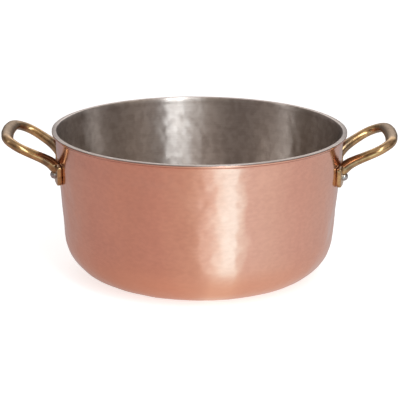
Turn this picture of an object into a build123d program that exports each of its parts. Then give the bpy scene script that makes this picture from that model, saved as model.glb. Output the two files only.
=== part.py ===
from build123d import *
import math
import os

# Hammered copper pan with a steel lining and two riveted brass handles.
# Millimetres, +Z up, the pan's axis on Z, the underside of the base at z = 0,
# the handles along X. Left and right are as seen from the front, from -Y.

# Pan body
rim_diameter = 280.0
pan_height = 140.6
wall_lean = 4.93  # degrees that the wall leans outward
base_corner_radius = 42.0  # outer face of the copper, between base and wall
copper_thickness = 2.0
lining_thickness = 0.5
flare_radius = 2.7  # outer face of the copper, where the lip turns outward
lip_lower_round = 0.8
lip_upper_round = 0.35

# Handle bar: an oval bar that leaves two feet and closes in a loop
handle_reach = 41.6  # from the lip's edge to the bar's centre line at the tip
bar_corner_radius = 16.3  # centre line of the loop's two corners, seen from above
leg_splay = 23.3  # degrees that each leg turns away from the other
leg_width = 9.8
leg_thickness = 8.7
tip_width = 12.2
tip_thickness = 8.9
shoulder_reach = 5.0  # from the lip's edge, where the leg starts to droop to its foot
shoulder_rise = 4.4  # from the foot's top edge up to the bar's centre line there
shoulder_slope = 30.6  # degrees that the bar climbs there
bar_bend_radius = 200.0  # the climb eases along the bar as on an arc of this radius
droop_radius = 17.0  # the leg bends down to its foot as on an arc of this radius
root_width = 17.5  # the bar's section where it runs into the wall
root_thickness = 12.0

# Handle foot: a plate that lies against the wall, wider at its top
foot_spacing = 57.6  # between the centres of one handle's two feet
foot_drop = 26.7  # from the rim down to the foot's top edge
foot_height = 20.8
foot_top_width = 35.0
foot_bottom_width = 22.0
foot_thickness = 4.3
foot_top_round = 2.5
foot_bottom_round = 7.0
foot_edge_round = 0.9
seat_gap = 0.1  # between the handle and the wall

# Rivets: a domed steel head outside and a low one on the lining
rivet_drop = 37.9  # from the rim down to the rivet's axis
rivet_shank_diameter = 5.0
rivet_head_diameter = 8.2
rivet_head_height = 4.5
inner_head_diameter = 11.0
inner_head_height = 1.9
spot_depth = 0.2  # the flat seat that is cut into the foot for the rivet's head
spot_clearance = 0.25  # round the head, and between it and the flat end of the leg above
shank_clearance = 0.05
head_clearance = 0.05

# One overrun serves every cut
overrun = 5.0

# Stations of the bar's sections along one half of the loop, from the root to the tip,
# and how much of the root's and of the tip's section each of them takes
bar_station_shares = (0.0, 0.06, 0.12, 0.19, 0.28, 0.4, 0.52, 0.6, 0.68, 0.76, 0.84, 0.92, 1.0)
root_section_shares = (1.0, 0.72, 0.48, 0.28, 0.13, 0.04, 0.0, 0.0, 0.0, 0.0, 0.0, 0.0, 0.0)
tip_section_shares = (0.0, 0.0, 0.0, 0.0, 0.0, 0.04, 0.2, 0.4, 0.65, 0.85, 0.95, 1.0, 1.0)

lean = math.radians(wall_lean)
rim_radius = rim_diameter / 2
sheet_thickness = copper_thickness + lining_thickness
flare_height = pan_height - sheet_thickness - flare_radius


def base_radius():
    """Radius of the flat part of the base, where the corner's arc starts."""
    rise = (base_corner_radius - flare_height) * math.sin(lean)
    return rim_radius + (rise - flare_radius - base_corner_radius) / math.cos(lean)


def wall_radius(z, outward=0.0):
    """Radius of the copper's outer face at height z, moved outward square to the wall."""
    start = rim_radius - flare_radius * math.cos(lean)
    fall = flare_height + flare_radius * math.sin(lean) - z
    return start - fall * math.tan(lean) + outward / math.cos(lean)


def skin_edges(depth):
    """One face of the sheet from the axis to the lip, at a depth below the outer face."""
    corner = CenterArc((base_radius(), base_corner_radius), base_corner_radius - depth, -90, 90 - wall_lean)
    flare = CenterArc((rim_radius, flare_height), flare_radius + depth, 180 - wall_lean, wall_lean - 90)
    return [
        Line((0, depth), corner @ 0),
        corner,
        Line(corner @ 1, flare @ 0),
        flare,
    ]


def sheet_layer(outer_depth, inner_depth, lip_corner_depth, lip_round):
    """A revolved layer of the pan between two depths, with one corner of its lip rounded."""
    outer = skin_edges(outer_depth)
    inner = skin_edges(inner_depth)
    lip = Line(outer[-1] @ 1, inner[-1] @ 1)
    axis = Line(inner[0] @ 0, outer[0] @ 0)
    profile = make_face(Wire(outer + [lip] + inner[::-1] + [axis]))
    lip_corner = Vector(rim_radius, flare_height + flare_radius + lip_corner_depth)
    rounded = fillet(profile.vertices().sort_by_distance(lip_corner)[0], lip_round)
    return revolve(Plane.XZ * rounded, Axis.Z)


def wall_envelope(outward):
    """Everything inside the wall's outer face moved outward, up to past the rim."""
    low = wall_radius(-overrun, outward)
    high = wall_radius(pan_height + overrun, outward)
    height = pan_height + 2 * overrun
    return Pos(0, 0, -overrun) * Cone(low, high, height, align=(Align.CENTER, Align.CENTER, Align.MIN))


def wall_plane(end, z):
    """A plane on the copper's outer face at one right foot: its Z is outward, its Y up the wall."""
    radius = wall_radius(z)
    turn = math.asin(foot_spacing / 2 / radius)
    across = math.cos(turn)
    along = end * math.sin(turn)
    outward = Vector(across * math.cos(lean), along * math.cos(lean), -math.sin(lean))
    level = Vector(-along, across, 0)
    return Plane(origin=(radius * across, radius * along, z), x_dir=level, z_dir=outward)


def bar_plan():
    """The bar's centre line from above, from one root to the middle of the tip."""
    splay = math.radians(leg_splay)
    tip_radius = rim_radius + handle_reach
    foot_radius = wall_radius(pan_height - foot_drop)
    root = Vector(math.sqrt(foot_radius**2 - (foot_spacing / 2) ** 2), foot_spacing / 2)
    ahead = Vector(math.cos(splay), math.sin(splay))
    inward = Vector(math.sin(splay), -math.cos(splay))
    aside = root + inward * bar_corner_radius
    reach = aside.dot(ahead)
    gap = aside.dot(aside) - (tip_radius - bar_corner_radius) ** 2
    run = math.sqrt(reach**2 - gap) - reach
    corner = aside + ahead * run
    corner_end = math.degrees(math.atan2(corner.Y, corner.X))
    corner_start = 90 + leg_splay
    return Wire([
        Line(root, root + ahead * run),
        CenterArc(corner, bar_corner_radius, corner_start, corner_end - corner_start),
        CenterArc((0, 0), tip_radius, corner_end, -corner_end),
    ])


def bar_height(x):
    """Height of the bar's centre line at a distance x from the pan's axis."""
    past = x - rim_radius - shoulder_reach
    climb = past * math.tan(math.radians(shoulder_slope)) - past * abs(past) / (2 * bar_bend_radius)
    droop = min(past, 0) ** 2 / (2 * droop_radius)
    return pan_height - foot_drop + shoulder_rise + climb - droop


def bar_slope(x):
    """How fast the bar's centre line climbs there."""
    past = x - rim_radius - shoulder_reach
    return math.tan(math.radians(shoulder_slope)) - abs(past) / bar_bend_radius - min(past, 0) / droop_radius


def bar_section(plan, station, root_share, tip_share):
    """One oval section of the bar, square to its centre line."""
    place = plan @ station
    ahead = plan % station
    slope = bar_slope(place.X)
    tangent = Vector(ahead.X, ahead.Y, slope * ahead.X).normalized()
    above = Vector(-slope, 0, 1).normalized()
    plane = Plane(origin=(place.X, place.Y, bar_height(place.X)), x_dir=above.cross(tangent), z_dir=tangent)
    width = leg_width + root_share * (root_width - leg_width) + tip_share * (tip_width - leg_width)
    thickness = leg_thickness + root_share * (root_thickness - leg_thickness)
    thickness += tip_share * (tip_thickness - leg_thickness)
    return plane * Ellipse(width / 2, thickness / 2)


def half_bar():
    """Half of the loop, lofted through its sections."""
    plan = bar_plan()
    rows = zip(bar_station_shares, root_section_shares, tip_section_shares)
    return loft([bar_section(plan, *row) for row in rows])


def foot(end):
    """One foot of the right handle: a shield outline, bent round the wall."""
    plane = wall_plane(end, pan_height - rivet_drop)
    top = (rivet_drop - foot_drop) / math.cos(lean)
    bottom = top - foot_height
    outline = Polygon(
        (-foot_bottom_width / 2, bottom),
        (foot_bottom_width / 2, bottom),
        (foot_top_width / 2, top),
        (-foot_top_width / 2, top),
        align=None,
    )
    corners = outline.vertices().sort_by(Axis.Y)
    outline = fillet(corners[:2], foot_bottom_round)
    corners = outline.vertices().sort_by(Axis.Y)
    outline = fillet(corners[-2:], foot_top_round)
    block = extrude(plane * outline, foot_thickness + overrun, both=True)
    plate = block & (wall_envelope(seat_gap + foot_thickness) - wall_envelope(seat_gap))
    rim_edges = plate.faces().sort_by_distance(plane.origin + plane.z_dir * overrun * 2)[0].edges()
    return fillet(rim_edges, foot_edge_round)


def rivet_hole(end):
    """The cut for one rivet's shank, through the wall and the right handle's foot."""
    plane = wall_plane(end, pan_height - rivet_drop)
    length = 2 * (foot_thickness + sheet_thickness + overrun)
    return plane * Cylinder(rivet_shank_diameter / 2 + shank_clearance, length)


def spot_face(end):
    """The cut that makes a flat, round seat for the outer head of one rivet."""
    plane = wall_plane(end, pan_height - rivet_drop)
    radius = rivet_head_diameter / 2 + spot_clearance
    depth = rivet_head_height + 2 * overrun
    bit = Cylinder(radius, depth, align=(Align.CENTER, Align.CENTER, Align.MIN))
    return plane * Pos(0, 0, seat_gap + foot_thickness - spot_depth) * bit


def leg_end(end):
    """The cut over one foot that ends the leg flat, just above the rivet's head."""
    plane = wall_plane(end, pan_height - rivet_drop)
    above_rivet = rivet_head_diameter / 2 + spot_clearance
    depth = foot_thickness + rivet_head_height + 2 * overrun
    block = Box(root_width + overrun, foot_height, depth, align=(Align.CENTER, Align.MAX, Align.MIN))
    return plane * Pos(0, above_rivet, 0) * block - wall_envelope(seat_gap + foot_thickness)


def right_handle():
    """The whole right handle: the loop, its two feet and the seats and holes for the rivets."""
    half = half_bar()
    handle = half + mirror(half, Plane.XZ) - wall_envelope(seat_gap)
    for end in (1, -1):
        handle = handle + foot(end) - leg_end(end) - spot_face(end) - rivet_hole(end)
    return handle


def dome(diameter, height):
    """A round head that stands on the XY plane."""
    radius = (diameter**2 / 4 + height**2) / (2 * height)
    ball = Pos(0, 0, height - radius) * Sphere(radius)
    return ball & Cylinder(diameter / 2, height + overrun, align=(Align.CENTER, Align.CENTER, Align.MIN))


def right_front_rivet():
    """One rivet: shank, domed head on the foot, low head on the lining."""
    plane = wall_plane(-1, pan_height - rivet_drop)
    up = (Align.CENTER, Align.CENTER, Align.MIN)
    down = (Align.CENTER, Align.CENTER, Align.MAX)
    outer_seat = seat_gap + foot_thickness - spot_depth + head_clearance
    inner_seat = sheet_thickness + head_clearance
    outer_head = Pos(0, 0, outer_seat) * dome(rivet_head_diameter, rivet_head_height)
    inner_head = dome(inner_head_diameter, inner_head_height)
    inner_head += Cylinder(inner_head_diameter / 2, inner_head_height, align=down)
    inner_head = Pos(0, 0, -inner_seat) * Rot(180, 0, 0) * inner_head
    inner_head = plane * inner_head & wall_envelope(-inner_seat)
    shank_start = -inner_seat - inner_head_height / 2
    shank_length = outer_seat + rivet_head_height / 2 - shank_start
    shank = Pos(0, 0, shank_start) * Cylinder(rivet_shank_diameter / 2, shank_length, align=up)
    return plane * (shank + outer_head) + inner_head


def pierced(layer):
    """A layer of the pan with the four holes that the rivets pass through."""
    for end in (1, -1):
        hole = rivet_hole(end)
        layer = layer - hole - mirror(hole, Plane.YZ)
    return layer


def named_parts():
    """Every node by its name."""
    shell = sheet_layer(0, copper_thickness, 0, lip_lower_round)
    lining = sheet_layer(copper_thickness, sheet_thickness, sheet_thickness, lip_upper_round)
    handle = right_handle()
    front_rivet = right_front_rivet()
    rear_rivet = mirror(front_rivet, Plane.XZ)
    return {
        "copper_shell": pierced(shell),
        "steel_lining": pierced(lining),
        "right_handle": handle,
        "left_handle": mirror(handle, Plane.YZ),
        "right_front_rivet": front_rivet,
        "right_rear_rivet": rear_rivet,
        "left_front_rivet": mirror(front_rivet, Plane.YZ),
        "left_rear_rivet": mirror(rear_rivet, Plane.YZ),
    }


os.makedirs("parts", exist_ok=True)
for name, solid in named_parts().items():
    export_step(solid, f"parts/{name}.step")
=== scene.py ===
import logging
import math
from dataclasses import dataclass
from enum import Enum

import bpy
import numpy as np
from mathutils import Matrix, Vector


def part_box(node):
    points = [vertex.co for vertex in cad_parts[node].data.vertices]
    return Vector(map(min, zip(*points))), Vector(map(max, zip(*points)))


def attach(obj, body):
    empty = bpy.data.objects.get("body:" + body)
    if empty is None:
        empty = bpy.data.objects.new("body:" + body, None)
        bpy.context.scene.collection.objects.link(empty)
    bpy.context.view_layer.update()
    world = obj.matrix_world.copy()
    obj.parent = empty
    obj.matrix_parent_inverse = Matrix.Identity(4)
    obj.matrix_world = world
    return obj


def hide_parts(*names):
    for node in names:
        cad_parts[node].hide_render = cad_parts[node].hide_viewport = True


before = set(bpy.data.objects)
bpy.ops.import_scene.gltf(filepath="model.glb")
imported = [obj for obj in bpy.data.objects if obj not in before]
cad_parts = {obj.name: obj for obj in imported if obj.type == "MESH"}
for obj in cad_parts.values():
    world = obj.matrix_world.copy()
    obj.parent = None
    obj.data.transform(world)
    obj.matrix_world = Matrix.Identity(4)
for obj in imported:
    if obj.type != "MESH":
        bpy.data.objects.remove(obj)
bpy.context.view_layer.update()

Colour = tuple[float, float, float]
Scales = tuple[float, float, float]
Point = tuple[float, float]
Span = tuple[float, float]
Rows = tuple[int, int, int, int]
Stops = tuple[tuple[float, Colour], ...]

LOG = logging.getLogger("copper_pan")
BODY = "root"
IMAGE_SIDE_PX = 400
SENSOR_MM = 36.0
COOL: Colour = (0.93, 1.0, 1.04)
WHITE: Colour = (1.0, 1.0, 1.0)
NOISE_SPREAD: Span = (0.3, 0.7)


def add_object(name: str, data: bpy.types.ID) -> bpy.types.Object:
    """Adds an object to the scene.

    Args:
        name: its name.
        data: its mesh, lamp or camera.

    Returns:
        The new object.
    """
    made = bpy.data.objects.new(name, data)
    bpy.context.scene.collection.objects.link(made)
    return made


class Slot(Enum):
    """The record's material slots."""

    COPPER = "copper"
    LINING = "lining_steel"
    BRASS = "handle_brass"
    RIVET = "rivet_steel"


class Hand(Enum):
    """The sides of the pan that carry a handle."""

    RIGHT = "right"
    LEFT = "left"


class Foot(Enum):
    """The two feet of one handle."""

    FRONT = "front"
    REAR = "rear"


class Value:
    """A socket or a number in a shader expression."""

    def __init__(self, sheet: "ShaderSheet", source: object) -> None:
        """Wraps a socket.

        Args:
            sheet: the node tree's helper, where new nodes go.
            source: an output socket or a plain number.
        """
        self.sheet = sheet
        self.source = source

    def _math(self, operation: str, *operands: object) -> "Value":
        """Adds one Math node.

        Args:
            operation: the node's operation.
            operands: values or numbers for its inputs, in order.

        Returns:
            The node's result.
        """
        return self.sheet.node("ShaderNodeMath", {"operation": operation}, dict(enumerate(operands)))

    def __add__(self, other: object) -> "Value":
        """The sum."""
        return self._math("ADD", self, other)

    def __radd__(self, other: object) -> "Value":
        """The sum with a number on the left."""
        return self._math("ADD", other, self)

    def __sub__(self, other: object) -> "Value":
        """The difference."""
        return self._math("SUBTRACT", self, other)

    def __rsub__(self, other: object) -> "Value":
        """The difference with a number on the left."""
        return self._math("SUBTRACT", other, self)

    def __mul__(self, other: object) -> "Value":
        """The product."""
        return self._math("MULTIPLY", self, other)

    def __truediv__(self, other: object) -> "Value":
        """The quotient."""
        return self._math("DIVIDE", self, other)

    def size(self) -> "Value":
        """The value without its sign."""
        return self._math("ABSOLUTE", self)

    def root(self) -> "Value":
        """The square root."""
        return self._math("SQRT", self)

    def length_with(self, other: "Value") -> "Value":
        """The length of a flat vector with these two parts."""
        return (self * self + other * other).root()

    def swing(self, amount: float) -> "Value":
        """Noise about zero, from minus to plus half the amount."""
        return (self - 0.5) * amount

    def angle_from(self, other: object) -> "Value":
        """The angle whose tangent is this value over the other, in radians."""
        return self._math("ARCTAN2", self, other)

    def lesser(self, other: object) -> "Value":
        """The smaller of two values."""
        return self._math("MINIMUM", self, other)

    def greater(self, other: object) -> "Value":
        """The larger of two values."""
        return self._math("MAXIMUM", self, other)

    def step(self, low: float, high: float, start: float = 0.0, end: float = 1.0) -> "Value":
        """A smooth step.

        Args:
            low: where the step starts.
            high: where it ends.
            start: the result up to low.
            end: the result from high on.

        Returns:
            The stepped value.
        """
        settings = {"interpolation_type": "SMOOTHSTEP", "clamp": True}
        inputs = {"Value": self, "From Min": low, "From Max": high, "To Min": start, "To Max": end}
        return self.sheet.node("ShaderNodeMapRange", settings, inputs)


class ShaderSheet:
    """Writes the nodes of one material or world."""

    def __init__(self, tree: bpy.types.NodeTree) -> None:
        """Starts from an empty node tree.

        Args:
            tree: the tree to fill.
        """
        self.tree = tree
        tree.nodes.clear()

    def node(
        self,
        kind: str,
        settings: dict[str, object] | None = None,
        inputs: dict[object, object] | None = None,
        output: object = 0,
    ) -> Value:
        """Adds a node of any type.

        Args:
            kind: the node's type.
            settings: its own settings, which are set before its sockets. Stops fill a ramp.
            inputs: values or links of its sockets, by name or place.
            output: the name or place of the output that is returned.

        Returns:
            That output, wrapped, or the bare node where it has none.
        """
        made = self.tree.nodes.new(kind)
        for name, value in (settings or {}).items():
            if name == "stops":
                self._fill_ramp(made.color_ramp, value)
            else:
                setattr(made, name, value)
        for name, value in (inputs or {}).items():
            self._feed(made.inputs[name], value)
        return Value(self, made.outputs[output] if made.outputs else made)

    def _feed(self, socket: bpy.types.NodeSocket, value: object) -> None:
        """Links a socket or sets its value.

        Args:
            socket: the input to feed.
            value: a Value, a number, a colour or a vector.
        """
        if isinstance(value, Value):
            value = value.source
        if isinstance(value, bpy.types.NodeSocket):
            self.tree.links.new(value, socket)
        elif socket.type == "RGBA":
            socket.default_value = (*value, 1.0)
        else:
            socket.default_value = value

    @staticmethod
    def _fill_ramp(ramp: bpy.types.ColorRamp, stops: Stops) -> None:
        """Gives a ramp its stops.

        Args:
            ramp: the ramp to fill.
            stops: place and colour of each stop.
        """
        while len(ramp.elements) < len(stops):
            ramp.elements.new(1.0)
        for element, (place, colour) in zip(ramp.elements, stops):
            element.position = place
            element.color = (*colour, 1.0)

    def mix(self, factor: object, first: object, second: object) -> Value:
        """Mixes two colours.

        Args:
            factor: how much of the second.
            first: the first colour.
            second: the second colour.

        Returns:
            The mixed colour.
        """
        settings = {"data_type": "RGBA", "clamp_factor": True}
        return self.node("ShaderNodeMix", settings, {0: factor, 6: first, 7: second}, 2)

    def around(self, azimuth: Value, stops: Stops) -> Value:
        """A colour that changes with the azimuth.

        Args:
            azimuth: the azimuth in radians, from minus to plus half a turn.
            stops: azimuth in degrees and colour of each stop.

        Returns:
            The colour.
        """
        settings = {"stops": tuple((degrees / 360 + 0.5, colour) for degrees, colour in stops)}
        return self.node("ShaderNodeValToRGB", settings, {0: azimuth / (2 * math.pi) + 0.5})

    def scaled(self, vector: object, scale: Scales) -> Value:
        """A vector, each part times its own scale.

        Args:
            vector: the vector.
            scale: the three scales.

        Returns:
            The scaled vector.
        """
        return self.node("ShaderNodeVectorMath", {"operation": "MULTIPLY"}, {0: vector, 1: scale})

    def parts(self, vector: Value) -> tuple[Value, Value, Value]:
        """The three parts of a vector.

        Args:
            vector: the vector.

        Returns:
            Its x, y and z.
        """
        split = self.node("ShaderNodeSeparateXYZ", inputs={0: vector}).source.node
        return Value(self, split.outputs[0]), Value(self, split.outputs[1]), Value(self, split.outputs[2])

    def place(self) -> Value:
        """The point on the surface, in metres in the pan's frame."""
        return self.node("ShaderNodeTexCoord", output="Object")

    def noise(self, vector: object, scale: float, detail: float = 2.0, rough: float = 0.5) -> Value:
        """Smooth noise from 0 to 1.

        Args:
            vector: where it is read.
            scale: its scale per metre.
            detail: how many finer layers it has.
            rough: how strong the finer layers are.

        Returns:
            The noise.
        """
        inputs = {"Vector": vector, "Scale": scale, "Detail": detail, "Roughness": rough}
        return self.node("ShaderNodeTexNoise", {"noise_dimensions": "3D"}, inputs)

    def rings(self, place: Value, scale: float, stretch: float, knee: Point, lip: float) -> Value:
        """Fine lines round the pan's axis, as turning and brushing leave them.

        Args:
            place: the point on the surface.
            scale: lines per metre, about.
            stretch: how many times longer a line is than it is wide.
            knee: radius and height of the centre of the corner's arc.
            lip: the radius at which the lip's flat top starts.

        Returns:
            The lines, from 0 to 1.
        """
        x, y, z = self.parts(place)
        radius = x.length_with(y)
        bend = (radius - knee[0]).angle_from(knee[1] - z).greater(0.0).lesser(math.pi / 2)
        wall = (z - knee[1]).greater(0.0)
        run = radius.lesser(knee[0]) + bend * knee[1] + wall + (radius - lip).greater(0.0)
        along = self.scaled(place, (scale / stretch, scale / stretch, 0.0))
        inputs = {"Vector": along, "W": run * scale, "Scale": 1.0, "Detail": 3.0, "Roughness": 0.65}
        return self.node("ShaderNodeTexNoise", {"noise_dimensions": "4D"}, inputs)

    def relief(self, height: Value, depth: float, strength: float = 1.0) -> Value:
        """A surface normal that shows a small relief.

        Args:
            height: the relief, from 0 to 1.
            depth: its depth in metres.
            strength: how much of it shows.

        Returns:
            The normal.
        """
        inputs = {"Strength": strength, "Distance": depth, "Height": height}
        return self.node("ShaderNodeBump", inputs=inputs)


@dataclass(frozen=True)
class MetalFinish:
    """What the pan's metals share: one shader and its constants."""

    slot: Slot
    anisotropic: float = 0.0
    turn: float = 0.0

    def material(self) -> bpy.types.Material:
        """Makes the material.

        Returns:
            The new material, named for its slot.
        """
        made = bpy.data.materials.new(self.slot.value)
        made.use_nodes = True
        sheet = ShaderSheet(made.node_tree)
        colour, rough, normal = self.surface(sheet)
        inputs = {
            "Base Color": colour,
            "Roughness": rough,
            "Normal": normal,
            "Metallic": 1.0,
            "Anisotropic": self.anisotropic,
            "Anisotropic Rotation": self.turn,
        }
        shader = sheet.node("ShaderNodeBsdfPrincipled", inputs=inputs)
        sheet.node("ShaderNodeOutputMaterial", inputs={"Surface": shader})
        return made

    def surface(self, sheet: ShaderSheet) -> tuple[Value, Value, Value]:
        """The finish's own colour, roughness and relief.

        Args:
            sheet: where its nodes go.

        Returns:
            Its base colour, roughness and normal.
        """
        raise NotImplementedError


@dataclass(frozen=True, kw_only=True)
class TurnedFinish(MetalFinish):
    """A sheet metal with fine lines that run round the pan."""

    knee: Point
    lip: float
    turn: float = 0.25
    line_scale: float = 1300.0
    line_stretch: float
    line_depth: float
    line_rough: float
    line_share: float = 0.3

    def lines(self, sheet: ShaderSheet, place: Value) -> Value:
        """Its lines, from 0 to 1."""
        return sheet.rings(place, self.line_scale, self.line_stretch, self.knee, self.lip)


@dataclass(frozen=True, kw_only=True)
class PlanishedCopper(TurnedFinish):
    """Polished copper, a little cloudy, warmer towards the base."""

    slot: Slot = Slot.COPPER
    anisotropic: float = 0.6
    roughness: float = 0.17
    polished: Colour = (0.864, 0.489, 0.3625)
    cloudy: Colour = (0.790, 0.433, 0.3245)
    heated: Colour = (0.86, 0.43, 0.27)
    turned: Colour = (0.76, 0.42, 0.31)
    heat_height: float = 0.055
    heat_share: float = 0.75
    cloud_scale: float = 24.0
    cloud_share: float = 0.45
    cloud_rough: float = 0.03
    speck_scale: float = 330.0
    speck_shape: Scales = (0.6, 0.6, 1.0)
    speck_share: float = 0.55
    line_stretch: float = 60.0
    line_depth: float = 0.0000035
    line_rough: float = 0.06
    line_spread: Span = (0.55, 0.8)

    def surface(self, sheet: ShaderSheet) -> tuple[Value, Value, Value]:
        """Clouds, specks, heat colour and turning lines.

        Args:
            sheet: where its nodes go.

        Returns:
            Its base colour, roughness and normal.
        """
        place = sheet.place()
        _, _, z = sheet.parts(place)
        clouds = sheet.noise(place, self.cloud_scale, detail=3.0).step(*NOISE_SPREAD)
        stretched = sheet.scaled(place, self.speck_shape)
        specks = sheet.noise(stretched, self.speck_scale, detail=2.0).step(*NOISE_SPREAD)
        lines = self.lines(sheet, place)
        dim = clouds * self.cloud_share + specks * self.speck_share
        heat = z.step(0.0, self.heat_height, self.heat_share, 0.0)
        colour = sheet.mix(dim, self.polished, self.cloudy)
        colour = sheet.mix(heat, colour, self.heated)
        colour = sheet.mix(lines.step(*self.line_spread) * self.line_share, colour, self.turned)
        rough = self.roughness + clouds * self.cloud_rough + lines.swing(self.line_rough)
        return colour, rough, sheet.relief(lines, self.line_depth)


@dataclass(frozen=True, kw_only=True)
class BrushedLining(TurnedFinish):
    """Brushed steel, with painted shade that darkens the lip's outer edge."""

    slot: Slot = Slot.LINING
    anisotropic: float = 0.92
    roughness: float = 0.3
    bright: Colour = (0.69, 0.635, 0.595)
    dull: Colour = (0.52, 0.462, 0.425)
    cloud_scale: float = 30.0
    cloud_share: float = 0.15
    blow_scale: float = 140.0
    blow_spread: Span = (0.35, 0.65)
    blow_share: float = 0.55
    line_stretch: float = 45.0
    line_depth: float = 0.000004
    line_rough: float = 0.08
    line_spread: Span = (0.3, 0.75)
    # painted shade: the colour of the lip's dark outer edge
    painted_edge_shade: Colour = (0.34, 0.31, 0.29)
    edge_inset: float = 0.0010
    edge_reach: float = 0.0016
    edge_share: float = 0.45

    def surface(self, sheet: ShaderSheet) -> tuple[Value, Value, Value]:
        """Brush lines, faint clouds and blows, and painted shade at the lip's outer edge.

        Args:
            sheet: where its nodes go.

        Returns:
            Its base colour, roughness and normal.
        """
        place = sheet.place()
        x, y, _ = sheet.parts(place)
        clouds = sheet.noise(place, self.cloud_scale, detail=3.0).step(*NOISE_SPREAD)
        blows = sheet.noise(place, self.blow_scale, detail=1.0).step(*self.blow_spread)
        lines = self.lines(sheet, place)
        dim = clouds * self.cloud_share + blows * self.blow_share
        dim = dim + lines.step(*self.line_spread) * self.line_share
        # painted shade: a darker band on the lip's outer edge draws its dark outline
        edge = self.lip + self.edge_inset
        rim = x.length_with(y).step(edge, edge + self.edge_reach)
        colour = sheet.mix(dim, self.bright, self.dull)
        colour = sheet.mix(rim * self.edge_share, colour, self.painted_edge_shade)
        rough = self.roughness + lines.swing(self.line_rough)
        return colour, rough, sheet.relief(lines, self.line_depth)


@dataclass(frozen=True)
class CastBrass(MetalFinish):
    """Cast brass, polished on its legs and worn matt at the tip of each loop."""

    slot: Slot = Slot.BRASS
    roughness: float = 0.17
    golden: Colour = (0.66, 0.43, 0.20)
    brown: Colour = (0.36, 0.21, 0.095)
    worn: Colour = (0.38, 0.30, 0.22)
    pitted: Colour = (0.23, 0.17, 0.115)
    # painted shade where the legs meet the wall
    shaded: Colour = (0.17, 0.135, 0.10)
    root_height: Span = (0.106, 0.116)
    root_reach: Span = (0.142, 0.156)
    root_least: float = 0.5
    root_share: float = 0.75
    tip_reach: Span = (0.160, 0.176)
    tip_wander: float = 0.02
    worn_side: Span = (-0.036, -0.018)
    worn_least: float = 0.35
    worn_wander: float = 0.03
    worn_share: float = 0.8
    worn_rough: float = 0.19
    mottle_scale: float = 120.0
    mottle_rough: float = 0.12
    mottle_height: float = 0.2
    brown_spread: Span = (0.40, 0.67)
    brown_share: float = 0.88
    shade_spread: Span = (0.3, 0.6)
    grain_scale: float = 900.0
    grain_spread: Span = (0.42, 0.60)
    grain_rough: float = 0.12
    grain_least: float = 0.8
    grain_depth: float = 0.000016
    grain_strength: float = 0.6

    def surface(self, sheet: ShaderSheet) -> tuple[Value, Value, Value]:
        """Mottling, casting grain, the worn tips and painted shade where the legs meet the wall.

        Args:
            sheet: where its nodes go.

        Returns:
            Its base colour, roughness and normal.
        """
        place = sheet.place()
        x, y, z = sheet.parts(place)
        mottle = sheet.noise(place, self.mottle_scale, detail=4.0, rough=0.6)
        grain = sheet.noise(place, self.grain_scale, detail=3.0, rough=0.6)
        tip = (x.size() + mottle.swing(self.tip_wander)).step(*self.tip_reach)
        side = y + mottle.swing(self.worn_wander)
        tip = tip * side.step(*self.worn_side, self.worn_least, 1.0)
        # painted shade: the brass is darkened where the legs meet the wall, for the shade and dark
        # reflections there
        root = z.step(*self.root_height) * x.size().step(*self.root_reach, 1.0, 0.0)
        shade = root * mottle.step(*self.shade_spread, self.root_least, 1.0)
        matt = sheet.mix(grain.step(*self.grain_spread), self.worn, self.pitted)
        tarnish = mottle.step(*self.brown_spread) * self.brown_share
        colour = sheet.mix(tarnish, self.golden, self.brown)
        colour = sheet.mix(shade * self.root_share, colour, self.shaded)
        colour = sheet.mix(tip * self.worn_share, colour, matt)
        rough = self.roughness + tip * self.worn_rough
        rough = rough + grain.swing(self.grain_rough) + mottle.swing(self.mottle_rough)
        height = grain * (tip + self.grain_least) + mottle * self.mottle_height
        return colour, rough, sheet.relief(height, self.grain_depth, self.grain_strength)


@dataclass(frozen=True)
class RivetSteel(MetalFinish):
    """Satin steel, as a hammered rivet head has."""

    slot: Slot = Slot.RIVET
    roughness: float = 0.26
    bright: Colour = (0.52, 0.50, 0.48)
    dull: Colour = (0.34, 0.32, 0.31)
    dent_scale: float = 350.0
    dent_spread: Span = (0.4, 0.7)
    dent_rough: float = 0.2
    dent_depth: float = 0.00005
    dent_strength: float = 0.5

    def surface(self, sheet: ShaderSheet) -> tuple[Value, Value, Value]:
        """Small dents and dull spots.

        Args:
            sheet: where its nodes go.

        Returns:
            Its base colour, roughness and normal.
        """
        dents = sheet.noise(sheet.place(), self.dent_scale, detail=3.0)
        colour = sheet.mix(dents.step(*self.dent_spread), self.bright, self.dull)
        rough = self.roughness + dents.swing(self.dent_rough)
        return colour, rough, sheet.relief(dents, self.dent_depth, self.dent_strength)


class Profile:
    """A closed line in a plane through the pan's axis, which is turned to a solid."""

    def __init__(self) -> None:
        """Starts with no rows."""
        self.points: list[Point] = []
        self.dented: list[float] = []

    def line(self, end: Point, steps: int, dented: float = 0.0) -> "Profile":
        """Adds a straight run.

        Args:
            end: radius and height of its end.
            steps: rows that it adds.
            dented: how much of the planishing shows on it.

        Returns:
            The profile itself.
        """
        start = self.points[-1] if self.points else (0.0, end[1])
        if not self.points:
            self.points.append(start)
            self.dented.append(dented)
        for step in range(1, steps + 1):
            share = step / steps
            self.points.append(tuple(a + (b - a) * share for a, b in zip(start, end)))
            self.dented.append(dented)
        return self

    def drop_last(self) -> None:
        """Takes its last point away."""
        self.points.pop()
        self.dented.pop()

    def arc(
        self, centre: Point, radius: float, start: float, end: float, steps: int, dented: float = 0.0
    ) -> "Profile":
        """Adds an arc.

        Args:
            centre: radius and height of its centre.
            radius: the arc's own radius.
            start: its first angle in degrees, from straight outward.
            end: its last angle.
            steps: rows that it adds after its first.
            dented: how much of the planishing shows on it.

        Returns:
            The profile itself.
        """
        for step in range(steps + 1):
            angle = math.radians(start + (end - start) * step / steps)
            point = (centre[0] + radius * math.cos(angle), centre[1] + radius * math.sin(angle))
            if step or not self.points or math.dist(point, self.points[-1]) > radius / (4 * steps):
                self.points.append(point)
                self.dented.append(dented)
        return self


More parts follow.
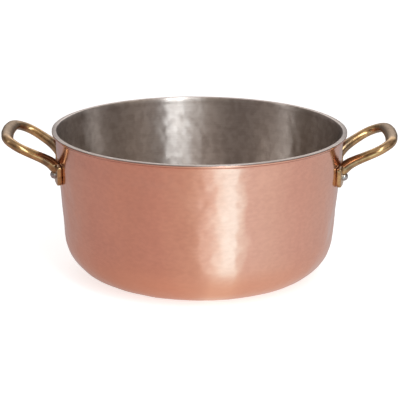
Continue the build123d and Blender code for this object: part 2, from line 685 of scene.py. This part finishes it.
@dataclass(frozen=True)
class Planishing:
    """The shallow dents of a planishing hammer, row by row."""

    spacing: float = 0.0125
    reach: float = 0.0100
    depth: float = 0.00008
    jitter: float = 0.35
    weakest: float = 0.5
    fewest: int = 3
    seed: int = 11
    raised: float = 0.0

    def field(self, along: np.ndarray, radii: np.ndarray, segments: int) -> np.ndarray:
        """The dents' depth on a grid of rows and segments.

        Args:
            along: each row's distance from the axis, measured on the surface.
            radii: each row's distance from the axis.
            segments: points in a row.

        Returns:
            Depth in metres for each row and segment.
        """
        random = np.random.default_rng(self.seed)
        depth = np.zeros((len(along), segments))
        turn = 2 * math.pi / segments
        for ring in np.arange(self.spacing, along.max(), self.spacing):
            radius = float(np.interp(ring, along, radii))
            strikes = max(self.fewest, round(2 * math.pi * radius / self.spacing))
            for strike in range(strikes):
                shift = random.normal(0.0, self.jitter, 2) * self.spacing
                angle = (strike + 0.5 * (round(ring / self.spacing) % 2)) * 2 * math.pi / strikes
                angle += shift[0] / max(radius, self.spacing)
                weight = random.uniform(self.weakest, 1.0)
                self._strike(depth, along, radii, turn, (ring + shift[1], angle), weight)
        return depth - self.raised * depth.mean()

    def _strike(
        self,
        depth: np.ndarray,
        along: np.ndarray,
        radii: np.ndarray,
        turn: float,
        place: Point,
        weight: float,
    ) -> None:
        """Adds one dent.

        Args:
            depth: the grid to add to.
            along: each row's distance from the axis, measured on the surface.
            radii: each row's distance from the axis.
            turn: the angle between two segments.
            place: the dent's distance from the axis on the surface, and its angle.
            weight: its share of the full depth.
        """
        rows = np.nonzero(np.abs(along - place[0]) < self.reach)[0]
        if not len(rows):
            return
        radius = max(float(radii[rows].mean()), self.spacing)
        half = min(int(self.reach / radius / turn) + 1, depth.shape[1] // 2)
        middle = round(place[1] / turn)
        columns = np.arange(middle - half, middle + half + 1)
        across = (columns * turn - place[1])[None, :] * radii[rows][:, None]
        up = (along[rows] - place[0])[:, None]
        share = np.clip(1 - (across**2 + up**2) / self.reach**2, 0, 1) ** 2
        depth[rows[:, None], (columns % depth.shape[1])[None, :]] += self.depth * weight * share


@dataclass(frozen=True)
class Lathe:
    """Turns profiles to meshes."""

    segments: int
    fade_rows: int = 4

    def turn(self, name: str, profile: Profile, blows: tuple[Planishing, ...]) -> bpy.types.Object:
        """Turns a profile to a closed mesh.

        Args:
            name: the new object's name.
            profile: a line that starts and ends on the axis.
            blows: the sets of dents that it gets.

        Returns:
            The new object.
        """
        points = np.array(profile.points)
        rows = points[1:-1]
        angles = np.arange(self.segments) * 2 * math.pi / self.segments
        ahead = np.gradient(points, axis=0)[1:-1]
        outward = np.stack([ahead[:, 1], -ahead[:, 0]], axis=1)
        outward /= np.linalg.norm(outward, axis=1)[:, None]
        sunk = self._sunk(points, np.array(profile.dented)[1:-1], blows)
        radius = rows[:, :1] - sunk * outward[:, :1]
        height = rows[:, 1:] - sunk * outward[:, 1:]
        places = np.stack([radius * np.cos(angles), radius * np.sin(angles), height], -1)
        vertices = places.reshape(-1, 3).tolist()
        first_pole, last_pole = len(vertices), len(vertices) + 1
        vertices += [(0.0, 0.0, float(points[0, 1])), (0.0, 0.0, float(points[-1, 1]))]
        return self._mesh(name, vertices, self._faces(len(rows), first_pole, last_pole))

    def _sunk(self, points: np.ndarray, dented: np.ndarray, blows: tuple[Planishing, ...]) -> np.ndarray:
        """How deep the dents lie below the plain profile.

        Args:
            points: the profile's points, with both poles.
            dented: how much of the planishing shows on each row between the poles.
            blows: the sets of dents.

        Returns:
            Depth in metres for each row and segment.
        """
        rows = points[1:-1]
        along = np.cumsum(np.linalg.norm(np.diff(points, axis=0), axis=1))[:-1]
        struck = np.nonzero(dented)[0]
        first, last = int(struck.min()), int(struck.max()) + 1
        window = 2 * self.fade_rows + 1
        padded = np.pad(dented, self.fade_rows, "edge")
        weights = np.convolve(padded, np.ones(window) / window, "valid")[first:last]
        base = along[first] - rows[first, 0] if first else 0.0
        sunk = np.zeros((len(rows), self.segments))
        for planishing in blows:
            depth = planishing.field(along[first:last] - base, rows[first:last, 0], self.segments)
            sunk[first:last] += depth * weights[:, None]
        return sunk

    def _faces(self, rows: int, first_pole: int, last_pole: int) -> list[tuple[int, ...]]:
        """The faces between the rows and at both poles.

        Args:
            rows: how many rows there are.
            first_pole: the vertex at the profile's start.
            last_pole: the vertex at its end.

        Returns:
            Each face's vertices.
        """
        near = np.arange(self.segments)
        far = (near + 1) % self.segments
        faces = []
        for row in range(rows - 1):
            low, high = row * self.segments, (row + 1) * self.segments
            faces += np.stack([low + near, low + far, high + far, high + near], axis=1).tolist()
        top = (rows - 1) * self.segments
        faces += [(first_pole, int(b), int(a)) for a, b in zip(near, far)]
        faces += [(last_pole, int(top + a), int(top + b)) for a, b in zip(near, far)]
        return faces

    @staticmethod
    def _mesh(name: str, vertices: list, faces: list) -> bpy.types.Object:
        """Makes the object.

        Args:
            name: its name.
            vertices: its vertices.
            faces: its faces.

        Returns:
            The new object, smooth and in the scene.
        """
        mesh = bpy.data.meshes.new(name)
        mesh.from_pydata(vertices, [], faces)
        mesh.validate()
        mesh.shade_smooth()
        return add_object(name, mesh)


@dataclass
class PanBody:
    """The copper shell and the steel lining, turned as one nest."""

    wall_lean: float = 4.93
    corner_radius: float = 0.042
    copper_thickness: float = 0.002
    lining_thickness: float = 0.0005
    flare_radius: float = 0.0027
    lower_round: float = 0.0008
    edge_width: float = 0.0010
    edge_drop: float = 0.00030
    edge_rows: int = 8
    crown_inset: float = 0.0040
    crown_drop: float = 0.0062
    joint_height: float = 0.0004
    joint_depth: float = 0.0006
    groove_drop: float = 0.0076
    groove_reach: float = 0.0016
    groove_depth: float = 0.00005
    crown_rows: int = 14
    segments: int = 620
    shell_rows: Rows = (40, 42, 62, 12)
    lining_rows: Rows = (40, 40, 58, 0)
    joint_rows: Rows = (6, 10, 12, 8)
    outer_dents: tuple[Planishing, ...] = (
        Planishing(spacing=0.0080, reach=0.0066, depth=0.00013, jitter=0.25, seed=11),
        Planishing(spacing=0.0200, reach=0.0190, depth=0.00034, jitter=0.45, seed=4),
    )
    inner_dents: tuple[Planishing, ...] = (
        Planishing(spacing=0.0080, reach=0.0068, depth=0.00014, jitter=0.2, seed=5, raised=1.0),
        Planishing(spacing=0.0220, reach=0.0200, depth=0.00012, jitter=0.45, seed=6, raised=1.0),
    )

    def __post_init__(self) -> None:
        """Works out the places that follow from the frame's own sizes."""
        self.rim_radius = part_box("copper_shell")[1].x
        self.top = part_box("steel_lining")[1].z
        self.flare_height = self.top - self.copper_thickness - self.lining_thickness - self.flare_radius
        lean = math.radians(self.wall_lean)
        rise = (self.corner_radius - self.flare_height) * math.sin(lean)
        self.base_radius = self.rim_radius + (rise - self.flare_radius - self.corner_radius) / math.cos(lean)

    def skin(
        self, profile: Profile, depth: float, outward: bool, rows: Rows, dented: float = 0.0
    ) -> None:
        """Adds one face of the sheet to a profile.

        Args:
            profile: the profile to add to.
            depth: how deep the face lies below the copper's outer face.
            outward: whether the face runs from the axis to the lip, or back.
            rows: rows of the base, the corner, the wall and the flare. No flare row makes it a crown.
            dented: how much of the planishing shows on it.
        """
        base, corner, wall, flare = rows
        corner_centre = (self.base_radius, self.corner_radius)
        corner_arc = self.corner_radius - depth
        flare_centre = (self.rim_radius, self.flare_height)
        flare_arc = self.flare_radius + depth
        lean = math.radians(self.wall_lean)
        aside, down = math.cos(lean), math.sin(lean)
        wall_top = (flare_centre[0] - flare_arc * aside, flare_centre[1] + flare_arc * down)
        wall_foot = (corner_centre[0] + corner_arc * aside, corner_centre[1] - corner_arc * down)
        if outward:
            profile.line((self.base_radius, depth), base, dented)
            profile.arc(corner_centre, corner_arc, -90, -self.wall_lean, corner, dented)
            profile.line(wall_top, wall, dented)
            profile.arc(flare_centre, flare_arc, 180 - self.wall_lean, 90, flare)
        else:
            if flare:
                profile.arc(flare_centre, flare_arc, 90, 180 - self.wall_lean, flare)
            else:
                self._crown(profile, wall_top)
            profile.line(wall_foot, wall, dented)
            profile.arc(corner_centre, corner_arc, -self.wall_lean, -90, corner, dented)
            profile.line((0.0, depth), base, dented)

    def _crown(self, profile: Profile, wall_top: Point) -> None:
        """Adds the lip's flat top and its bend into the wall to the lining's profile.

        Args:
            profile: the lining's profile, up to the lip's outer edge.
            wall_top: where a plain flare would meet the wall.
        """
        crown = self.rim_radius - self.crown_inset
        foot = self.top - self.crown_drop
        wall = wall_top[0] + (foot - wall_top[1]) * math.tan(math.radians(self.wall_lean))
        profile.line((crown, self.top), 3)
        for step in range(1, self.crown_rows + 1):
            turn = math.pi / 2 * step / self.crown_rows
            radius = crown - (crown - wall) * math.sin(turn)
            profile.line((radius, foot + self.crown_drop * math.cos(turn)), 1)

    def _edge(self, profile: Profile) -> None:
        """Adds the lip's outer edge, which rises softly to the lip's top.

        Args:
            profile: the lining's profile, up to the lip's outer edge.
        """
        for step in range(self.edge_rows + 1):
            turn = math.pi / 2 * step / self.edge_rows
            radius = self.rim_radius - self.edge_width * (1 - math.cos(turn))
            profile.line((radius, self.top - self.edge_drop * (1 - math.sin(turn))), 1)

    def shell(self) -> bpy.types.Object:
        """Builds the copper shell, with its planished outer face.

        Returns:
            The shell.
        """
        profile = Profile()
        self.skin(profile, 0.0, True, self.shell_rows, 1.0)
        self._groove(profile)
        edge = self.flare_height + self.flare_radius
        profile.drop_last()
        turn = (self.rim_radius - self.lower_round, edge + self.lower_round)
        profile.arc(turn, self.lower_round, -90, 0, 6)
        joint = edge + self.copper_thickness - self.joint_height
        profile.line((self.rim_radius, joint), 3)
        profile.line((self.rim_radius - self.joint_depth, joint), 2)
        profile.line((self.rim_radius - self.joint_depth, edge + self.copper_thickness), 2)
        self.skin(profile, self.copper_thickness, False, self.joint_rows)
        return Lathe(self.segments).turn("planished_shell", profile, self.outer_dents)

    def _groove(self, profile: Profile) -> None:
        """Presses the faint turned line below the lip into a profile.

        Args:
            profile: the shell's profile, up to its lip.
        """
        for row, (radius, height) in enumerate(profile.points):
            share = 1 - ((height - self.top + self.groove_drop) / self.groove_reach) ** 2
            if share > 0 and radius > self.base_radius:
                profile.points[row] = (radius - share * self.groove_depth, height)

    def lining(self) -> bpy.types.Object:
        """Builds the steel lining.

        Returns:
            The lining.
        """
        profile = Profile()
        self.skin(profile, self.copper_thickness, True, self.joint_rows)
        self._edge(profile)
        inside = self.copper_thickness + self.lining_thickness
        self.skin(profile, inside, False, self.lining_rows, 1.0)
        return Lathe(self.segments).turn("brushed_lining", profile, self.inner_dents)

    def build(self) -> list[bpy.types.Object]:
        """Builds, dresses and places both sheets.

        Returns:
            The new pieces.
        """
        knee = (self.base_radius, self.corner_radius)
        lip = self.rim_radius - self.crown_inset
        finishes = {
            "copper_shell": (self.shell(), PlanishedCopper(knee=knee, lip=lip)),
            "steel_lining": (self.lining(), BrushedLining(knee=knee, lip=lip)),
        }
        for node, (piece, finish) in finishes.items():
            piece.data.materials.append(finish.material())
            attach(piece, BODY)
            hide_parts(node)
        return [piece for piece, _ in finishes.values()]


@dataclass
class Handles:
    """The two cast handles, with the soft edges and inner corners of a casting."""

    voxel: float = 0.0005
    smoothing: float = 0.5
    smooth_steps: int = 14
    finish: CastBrass = CastBrass()

    def cast(self, hand: Hand) -> bpy.types.Object:
        """Builds one handle from its solid.

        Args:
            hand: which handle.

        Returns:
            The softened casting.
        """
        node = f"{hand.value}_handle"
        solid = add_object(f"{node}_solid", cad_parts[node].data.copy())
        remesh = solid.modifiers.new("remesh", "REMESH")
        remesh.mode = "VOXEL"
        remesh.voxel_size = self.voxel
        remesh.use_smooth_shade = True
        smooth = solid.modifiers.new("smooth", "SMOOTH")
        smooth.factor = self.smoothing
        smooth.iterations = self.smooth_steps
        graph = bpy.context.evaluated_depsgraph_get()
        mesh = bpy.data.meshes.new_from_object(solid.evaluated_get(graph))
        bpy.data.objects.remove(solid)
        mesh.materials.clear()
        mesh.shade_smooth()
        return add_object(f"cast_{node}", mesh)

    def build(self) -> list[bpy.types.Object]:
        """Builds, dresses and places both handles.

        Returns:
            The new pieces.
        """
        material = self.finish.material()
        pieces = []
        for hand in Hand:
            piece = self.cast(hand)
            piece.data.materials.append(material)
            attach(piece, BODY)
            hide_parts(f"{hand.value}_handle")
            pieces.append(piece)
        return pieces


@dataclass
class Rivets:
    """The four rivets, which keep their CAD solids."""

    finish: RivetSteel = RivetSteel()

    def build(self) -> list[bpy.types.Object]:
        """Dresses the rivets.

        Returns:
            The dressed CAD objects.
        """
        material = self.finish.material()
        pieces = []
        for hand in Hand:
            for foot in Foot:
                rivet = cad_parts[f"{hand.value}_{foot.value}_rivet"]
                rivet.data.materials.clear()
                rivet.data.materials.append(material)
                pieces.append(rivet)
        return pieces


@dataclass(frozen=True)
class SoftBox:
    """A studio lamp that faces the pan."""

    name: str
    azimuth: float
    elevation: float
    distance: float
    width: float
    height: float
    radiance: float
    colour: Colour = WHITE
    aim: float = 0.07

    def hang(self) -> None:
        """Adds the lamp. Its azimuth is counted from the camera's side towards the right."""
        turn, rise = math.radians(self.azimuth), math.radians(self.elevation)
        way = Vector((math.sin(turn) * math.cos(rise), -math.cos(turn) * math.cos(rise), math.sin(rise)))
        lamp = bpy.data.lights.new(self.name, "AREA")
        lamp.shape = "RECTANGLE"
        lamp.size = self.width
        lamp.size_y = self.height
        lamp.energy = self.radiance * math.pi * self.width * self.height
        lamp.color = self.colour
        made = add_object(self.name, lamp)
        made.location = way * self.distance + Vector((0.0, 0.0, self.aim))
        made.rotation_euler = way.to_track_quat("Z", "Y").to_euler()
        made.visible_camera = False


@dataclass
class Studio:
    """The pale floor, the light and the surroundings that the metal reflects."""

    floor_reach: float = 6.0
    focus: float = 0.069
    pale: Colour = (0.82, 0.82, 0.82)
    lift: float = 0.68
    near_blend: Span = (0.045, 0.165)
    far_blend: Span = (0.35, 0.7)
    room_blend: Span = (0.17, 0.37)
    ceiling_blend: Span = (0.55, 0.80)
    # painted shade and light on the table near the pan, seen only by the metal: dark at the flanks as a
    # painted contact shadow, brightest ahead to the right as a painted pool of light
    near_table: Stops = (
        (-170, (0.20, 0.16, 0.14)),
        (-120, (0.42, 0.34, 0.31)),
        (-70, (0.60, 0.46, 0.43)),
        (-30, (0.70, 0.54, 0.50)),
        (0, (0.77, 0.66, 0.62)),
        (14, (0.88, 0.81, 0.76)),
        (34, (0.88, 0.81, 0.76)),
        (50, (0.80, 0.70, 0.67)),
        (90, (0.76, 0.66, 0.63)),
        (130, (0.46, 0.40, 0.38)),
        (170, (0.20, 0.16, 0.14)),
    )
    # painted highlight: the strip from 10 to 38 degrees, brighter than white, is a painted pool of light that
    # gives the copper its highlight
    table: Stops = (
        (-175, (0.43, 0.41, 0.42)),
        (-120, (0.49, 0.42, 0.42)),
        (-85, (0.54, 0.41, 0.40)),
        (-60, (0.57, 0.42, 0.39)),
        (-34, (0.61, 0.45, 0.42)),
        (-15, (0.67, 0.53, 0.48)),
        (-4, (0.73, 0.62, 0.56)),
        (1, (0.80, 0.72, 0.67)),
        (3, (0.90, 0.86, 0.84)),
        (10, (1.00, 1.08, 1.10)),
        (12, (1.12, 1.35, 1.42)),
        (22, (1.25, 1.80, 2.05)),
        (32, (1.25, 1.80, 2.05)),
        (34.5, (0.98, 1.16, 1.22)),
        (38.5, (0.95, 1.08, 1.13)),
        (41, (0.84, 0.84, 0.87)),
        (60, (0.80, 0.79, 0.80)),
        (85, (0.71, 0.64, 0.65)),
        (120, (0.63, 0.59, 0.59)),
        (175, (0.43, 0.41, 0.42)),
    )
    far_table: Stops = (
        (-175, (0.25, 0.24, 0.25)),
        (-90, (0.44, 0.37, 0.40)),
        (-45, (0.48, 0.46, 0.49)),
        (-15, (0.61, 0.63, 0.65)),
        (12, (0.90, 0.95, 0.95)),
        (45, (0.95, 0.96, 0.95)),
        (85, (0.75, 0.75, 0.78)),
        (175, (0.25, 0.24, 0.25)),
    )
    low_room: Stops = (
        (-170, (0.12, 0.11, 0.11)),
        (-120, (0.25, 0.22, 0.22)),
        (-60, (0.19, 0.18, 0.18)),
        (-40, (0.26, 0.25, 0.25)),
        (-9, (0.28, 0.29, 0.29)),
        (12, (0.50, 0.52, 0.52)),
        (40, (0.34, 0.32, 0.33)),
        (60, (0.17, 0.16, 0.17)),
        (115, (0.22, 0.21, 0.22)),
        (170, (0.12, 0.11, 0.11)),
    )
    high_room: Stops = (
        (-175, (1.62, 1.54, 1.50)),
        (-150, (0.60, 0.56, 0.54)),
        (-130, (0.14, 0.12, 0.10)),
        (-100, (0.26, 0.22, 0.17)),
        (-60, (0.27, 0.20, 0.165)),
        (-36, (0.19, 0.13, 0.10)),
        (-12, (0.50, 0.385, 0.30)),
        (21, (0.76, 0.71, 0.685)),
        (60, (0.70, 0.60, 0.49)),
        (85, (0.34, 0.29, 0.24)),
        (130, (0.08, 0.07, 0.07)),
        (150, (1.10, 1.05, 1.02)),
        (175, (1.62, 1.54, 1.50)),
    )
    ceiling: Colour = (0.47, 0.43, 0.43)
    boxes: tuple[SoftBox, ...] = (
        SoftBox(
            "key_box", azimuth=22, elevation=36, distance=1.8,
            width=0.48, height=2.0, radiance=4.2, colour=COOL,
        ),
        SoftBox(
            "soft_box", azimuth=6, elevation=24, distance=2.0,
            width=0.55, height=1.1, radiance=0.9, colour=COOL,
        ),
        SoftBox("top_box", azimuth=18, elevation=74, distance=1.6, width=0.9, height=0.7, radiance=0.4),
        SoftBox("right_strip", azimuth=110, elevation=32, distance=1.8, width=0.18, height=1.4, radiance=0.2),
        SoftBox("left_strip", azimuth=-79, elevation=32, distance=1.8, width=0.30, height=1.4, radiance=0.85),
    )

    def build(self) -> None:
        """Sets up floor, surroundings and lamps."""
        self.floor()
        self.surroundings()
        for box in self.boxes:
            box.hang()
        bpy.context.scene.view_settings.view_transform = "Standard"

    def seen(self, sheet: ShaderSheet) -> Value:
        """One for rays that come straight from the camera, else zero."""
        return sheet.node("ShaderNodeLightPath", output="Is Camera Ray")

    def mirrored(self, sheet: ShaderSheet) -> Value:
        """One for rays that come by way of metal, else zero.

        Args:
            sheet: where its nodes go.

        Returns:
            The share.
        """
        glossy = sheet.node("ShaderNodeLightPath", output="Is Glossy Ray")
        through = sheet.node("ShaderNodeLightPath", output="Is Transmission Ray")
        return glossy.greater(through)

    def floor(self) -> None:
        """Adds the pale floor: white to the camera, and to the metal an unevenly lit table whose light and
        shade are painted into its glow.
        """
        reach = self.floor_reach
        mesh = bpy.data.meshes.new("floor")
        corners = [(-reach, -reach, 0), (reach, -reach, 0), (reach, reach, 0), (-reach, reach, 0)]
        mesh.from_pydata(corners, [], [(0, 1, 2, 3)])
        floor = add_object("floor", mesh)
        made = bpy.data.materials.new("pale_floor")
        made.use_nodes = True
        sheet = ShaderSheet(made.node_tree)
        x, y, _ = sheet.parts(sheet.place())
        ahead = -self.focus - y
        away = x.length_with(ahead)
        azimuth = x.angle_from(ahead)
        near, middle, far = (
            sheet.around(azimuth, stops) for stops in (self.near_table, self.table, self.far_table)
        )
        table = sheet.mix(away.step(*self.near_blend), near, middle)
        table = sheet.mix(away.step(*self.far_blend), table, far)
        plain = sheet.node("ShaderNodeBsdfDiffuse", inputs={"Color": self.pale})
        mirror_glow = sheet.node("ShaderNodeEmission", inputs={"Color": table, "Strength": 1.0})
        seen_glow = sheet.node("ShaderNodeEmission", inputs={"Color": WHITE, "Strength": self.lift})
        shadowed = sheet.node("ShaderNodeAddShader", inputs={0: plain, 1: seen_glow})
        by_metal = {0: self.mirrored(sheet), 1: plain, 2: mirror_glow}
        shader = sheet.node("ShaderNodeMixShader", inputs=by_metal)
        by_camera = {0: self.seen(sheet), 1: shader, 2: shadowed}
        shader = sheet.node("ShaderNodeMixShader", inputs=by_camera)
        sheet.node("ShaderNodeOutputMaterial", inputs={"Surface": shader})
        mesh.materials.append(made)

    def surroundings(self) -> None:
        """Fills the world: a dim room in front, a paler backdrop behind, a plain ceiling."""
        world = bpy.data.worlds.new("studio")
        bpy.context.scene.world = world
        world.use_nodes = True
        sheet = ShaderSheet(world.node_tree)
        x, y, z = sheet.parts(sheet.node("ShaderNodeTexCoord", output="Generated"))
        azimuth = x.angle_from(0.0 - y)
        low = sheet.around(azimuth, self.low_room)
        high = sheet.around(azimuth, self.high_room)
        colour = sheet.mix(z.step(*self.room_blend), low, high)
        colour = sheet.mix(z.step(*self.ceiling_blend), colour, self.ceiling)
        colour = sheet.mix(self.seen(sheet), colour, WHITE)
        background = sheet.node("ShaderNodeBackground", inputs={"Color": colour, "Strength": 1.0})
        sheet.node("ShaderNodeOutputWorld", inputs={"Surface": background})


@dataclass(frozen=True)
class Viewpoint:
    """The photograph's camera."""

    distance: float = 1.7
    elevation: float = 15.895
    height: float = 0.069837
    aside: float = 0.00095
    roll: float = 0.399
    focal_px: float = 1769.49
    far_clip: float = 50.0

    def build(self) -> None:
        """Adds the camera and makes it the scene's own."""
        rise = math.radians(self.elevation)
        lens = bpy.data.cameras.new("photo_camera")
        lens.sensor_width = SENSOR_MM
        lens.lens = self.focal_px / IMAGE_SIDE_PX * SENSOR_MM
        lens.clip_end = self.far_clip
        camera = add_object("photo_camera", lens)
        place = (self.aside, -self.distance * math.cos(rise), self.height + self.distance * math.sin(rise))
        tilt = Matrix.Rotation(math.pi / 2 - rise, 4, "X")
        roll = Matrix.Rotation(math.radians(self.roll), 4, "Z")
        camera.matrix_world = Matrix.Translation(place) @ tilt @ roll
        bpy.context.scene.camera = camera


def main() -> None:
    """Builds the pan and its studio."""
    logging.basicConfig(level=logging.INFO, format="%(name)s: %(message)s")
    for assembly in (PanBody(), Handles(), Rivets()):
        for piece in assembly.build():
            faces = len(piece.data.polygons)
            LOG.info("%s: %s has %d faces", type(assembly).__name__, piece.name, faces)
    Studio().build()
    Viewpoint().build()


if __name__ == "__main__":
    main()
